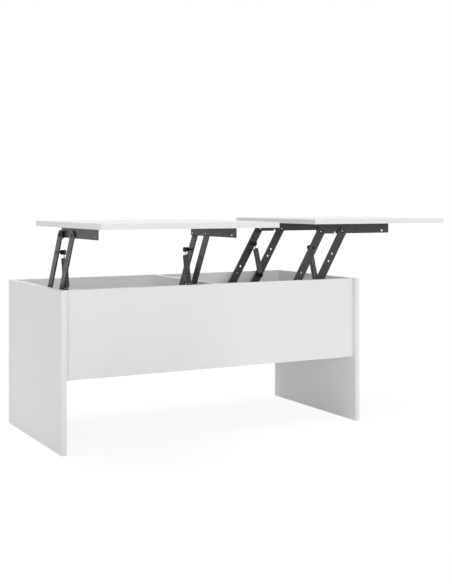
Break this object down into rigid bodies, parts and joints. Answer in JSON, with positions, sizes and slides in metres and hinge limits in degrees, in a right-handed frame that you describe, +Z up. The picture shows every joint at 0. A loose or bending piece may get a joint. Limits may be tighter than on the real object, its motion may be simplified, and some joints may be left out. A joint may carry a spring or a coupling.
{
  "type": "lift top coffee table",
  "caption": "Low rectangular coffee table whose two tops rise separately on sprung parallel-arm lifts, one forward and one sideways, over a divided storage box.",
  "frame": {"origin": "on the floor, under the middle of the box's footprint", "axes": "+X to the right along the box, towards the side where the right top swings out; +Y to the back; +Z up; the left top rises towards -Y"},
  "size_m": [1.3436, 0.8286, 0.6391],
  "materials": {
    "white_board": "satin white melamine on particle board, matching edge band",
    "black_steel": "semi-matt black powder coat",
    "black_pin": "black oxide",
    "spring_wire": "dark oiled spring steel, semi-gloss",
    "rivet_black": "black oxide rivet with a bright core",
    "zinc": "zinc-plated steel",
    "beech": "fluted bare beech"
  },
  "bodies": {
    "cabinet": {"left_end_panel": "white_board", "right_end_panel": "white_board", "front_panel": "white_board", "back_panel": "white_board", "bottom_board": "white_board", "divider": "white_board", "cam_locks": "zinc", "cam_bolts": "zinc", "dowels": "beech", "base_pivot_rivets": "rivet_black", "base_pivot_spacers": "zinc", "stop_studs": "zinc", "base_plate_screws": "zinc", "left_outer_base_plate": "black_steel", "left_inner_base_plate": "black_steel", "right_front_base_plate": "black_steel", "right_back_base_plate": "black_steel"},
    "left_top_assembly": {"left_top": "white_board", "left_top_rivets": "rivet_black", "left_top_spacers": "black_pin", "left_bracket_screws": "zinc", "left_outer_top_bracket": "black_steel", "left_inner_top_bracket": "black_steel"},
    "left_outer_rear_link": {"left_outer_rear_arm": "black_steel", "left_outer_upper_pin": "black_pin"},
    "left_outer_front_link": {"left_outer_front_arm": "black_steel", "left_outer_lower_pin": "black_pin"},
    "left_outer_spring_low_end": {"left_outer_spring_lower": "spring_wire"},
    "left_outer_spring_high_end": {"left_outer_spring_upper": "spring_wire"},
    "left_inner_rear_link": {"left_inner_rear_arm": "black_steel", "left_inner_upper_pin": "black_pin"},
    "left_inner_front_link": {"left_inner_front_arm": "black_steel", "left_inner_lower_pin": "black_pin"},
    "left_inner_spring_low_end": {"left_inner_spring_lower": "spring_wire"},
    "left_inner_spring_high_end": {"left_inner_spring_upper": "spring_wire"},
    "right_top_assembly": {"right_top": "white_board", "right_top_rivets": "rivet_black", "right_top_spacers": "black_pin", "right_bracket_screws": "zinc", "right_front_top_bracket": "black_steel", "right_back_top_bracket": "black_steel"},
    "right_front_rear_link": {"right_front_rear_arm": "black_steel", "right_front_upper_pin": "black_pin"},
    "right_front_front_link": {"right_front_front_arm": "black_steel", "right_front_lower_pin": "black_pin"},
    "right_front_spring_low_end": {"right_front_spring_lower": "spring_wire"},
    "right_front_spring_high_end": {"right_front_spring_upper": "spring_wire"},
    "right_back_rear_link": {"right_back_rear_arm": "black_steel", "right_back_upper_pin": "black_pin"},
    "right_back_front_link": {"right_back_front_arm": "black_steel", "right_back_lower_pin": "black_pin"},
    "right_back_spring_low_end": {"right_back_spring_lower": "spring_wire"},
    "right_back_spring_high_end": {"right_back_spring_upper": "spring_wire"}
  },
  "joints": [
    {"name": "left_top_lift", "type": "hinge", "parent": "cabinet", "child": "left_outer_rear_link", "pos_m": [-0.45825, -0.0251, 0.4125], "axis": [-1, 0, 0], "range_deg": [0, 116.5]},
    {"name": "left_top_level", "type": "hinge", "parent": "left_outer_rear_link", "child": "left_top_assembly", "pos_m": [-0.45825, -0.1331, 0.59956], "axis": [-1, 0, 0], "range_deg": [-117, 0.5]},
    {"name": "left_outer_front_swing", "type": "hinge", "parent": "cabinet", "child": "left_outer_front_link", "pos_m": [-0.456, -0.1121, 0.4125], "axis": [-1, 0, 0], "range_deg": [-0.5, 117]},
    {"name": "left_outer_spring_turn", "type": "hinge", "parent": "left_outer_front_link", "child": "left_outer_spring_low_end", "pos_m": [-0.4375, -0.1271, 0.43848], "axis": [-1, 0, 0], "range_deg": [-41.14, 0.5]},
    {"name": "left_outer_spring_stretch", "type": "slide", "parent": "left_outer_spring_low_end", "child": "left_outer_spring_high_end", "axis": [0, 0.2089, 0.9779], "range_m": [-0.0005, 0.10194], "deforming": ["left_outer_spring_upper", "left_outer_spring_lower"]},
    {"name": "left_inner_rear_swing", "type": "hinge", "parent": "cabinet", "child": "left_inner_rear_link", "pos_m": [-0.0315, -0.0251, 0.4125], "axis": [-1, 0, 0], "range_deg": [-0.5, 117]},
    {"name": "left_inner_front_swing", "type": "hinge", "parent": "cabinet", "child": "left_inner_front_link", "pos_m": [-0.0315, -0.1121, 0.4125], "axis": [-1, 0, 0], "range_deg": [-0.5, 117]},
    {"name": "left_inner_spring_turn", "type": "hinge", "parent": "left_inner_front_link", "child": "left_inner_spring_low_end", "pos_m": [-0.05, -0.1271, 0.43848], "axis": [-1, 0, 0], "range_deg": [-41.14, 0.5]},
    {"name": "left_inner_spring_stretch", "type": "slide", "parent": "left_inner_spring_low_end", "child": "left_inner_spring_high_end", "axis": [0, 0.2089, 0.9779], "range_m": [-0.0005, 0.10194], "deforming": ["left_inner_spring_upper", "left_inner_spring_lower"]},
    {"name": "right_top_lift", "type": "hinge", "parent": "cabinet", "child": "right_front_rear_link", "pos_m": [0.2786, -0.19075, 0.4125], "axis": [0, -1, 0], "range_deg": [0, 116.5]},
    {"name": "right_top_level", "type": "hinge", "parent": "right_front_rear_link", "child": "right_top_assembly", "pos_m": [0.3866, -0.19075, 0.59956], "axis": [0, -1, 0], "range_deg": [-117, 0.5]},
    {"name": "right_front_front_swing", "type": "hinge", "parent": "cabinet", "child": "right_front_front_link", "pos_m": [0.3656, -0.1885, 0.4125], "axis": [0, -1, 0], "range_deg": [-0.5, 117]},
    {"name": "right_front_spring_turn", "type": "hinge", "parent": "right_front_front_link", "child": "right_front_spring_low_end", "pos_m": [0.3806, -0.17, 0.43848], "axis": [0, -1, 0], "range_deg": [-41.14, 0.5]},
    {"name": "right_front_spring_stretch", "type": "slide", "parent": "right_front_spring_low_end", "child": "right_front_spring_high_end", "axis": [-0.2089, 0, 0.9779], "range_m": [-0.0005, 0.10194], "deforming": ["right_front_spring_upper", "right_front_spring_lower"]},
    {"name": "right_back_rear_swing", "type": "hinge", "parent": "cabinet", "child": "right_back_rear_link", "pos_m": [0.2786, 0.1985, 0.4125], "axis": [0, -1, 0], "range_deg": [-0.5, 117]},
    {"name": "right_back_front_swing", "type": "hinge", "parent": "cabinet", "child": "right_back_front_link", "pos_m": [0.3656, 0.1985, 0.4125], "axis": [0, -1, 0], "range_deg": [-0.5, 117]},
    {"name": "right_back_spring_turn", "type": "hinge", "parent": "right_back_front_link", "child": "right_back_spring_low_end", "pos_m": [0.3806, 0.18, 0.43848], "axis": [0, -1, 0], "range_deg": [-41.14, 0.5]},
    {"name": "right_back_spring_stretch", "type": "slide", "parent": "right_back_spring_low_end", "child": "right_back_spring_high_end", "axis": [-0.2089, 0, 0.9779], "range_m": [-0.0005, 0.10194], "deforming": ["right_back_spring_upper", "right_back_spring_lower"]}
  ],
  "couplings": [
    {"joint": "left_top_level", "follows": "left_top_lift", "ratio": -1},
    {"joint": "left_outer_front_swing", "follows": "left_top_lift", "ratio": 1},
    {"joint": "left_outer_spring_turn", "follows": "left_top_lift", "ratio": -0.34882},
    {"joint": "left_outer_spring_stretch", "follows": "left_top_lift", "m_per_rad": 0.049887},
    {"joint": "left_inner_rear_swing", "follows": "left_top_lift", "ratio": 1},
    {"joint": "left_inner_front_swing", "follows": "left_top_lift", "ratio": 1},
    {"joint": "left_inner_spring_turn", "follows": "left_top_lift", "ratio": -0.34882},
    {"joint": "left_inner_spring_stretch", "follows": "left_top_lift", "m_per_rad": 0.049887},
    {"joint": "right_top_level", "follows": "right_top_lift", "ratio": -1},
    {"joint": "right_front_front_swing", "follows": "right_top_lift", "ratio": 1},
    {"joint": "right_front_spring_turn", "follows": "right_top_lift", "ratio": -0.34882},
    {"joint": "right_front_spring_stretch", "follows": "right_top_lift", "m_per_rad": 0.049887},
    {"joint": "right_back_rear_swing", "follows": "right_top_lift", "ratio": 1},
    {"joint": "right_back_front_swing", "follows": "right_top_lift", "ratio": 1},
    {"joint": "right_back_spring_turn", "follows": "right_top_lift", "ratio": -0.34882},
    {"joint": "right_back_spring_stretch", "follows": "right_top_lift", "m_per_rad": 0.049887}
  ]
}
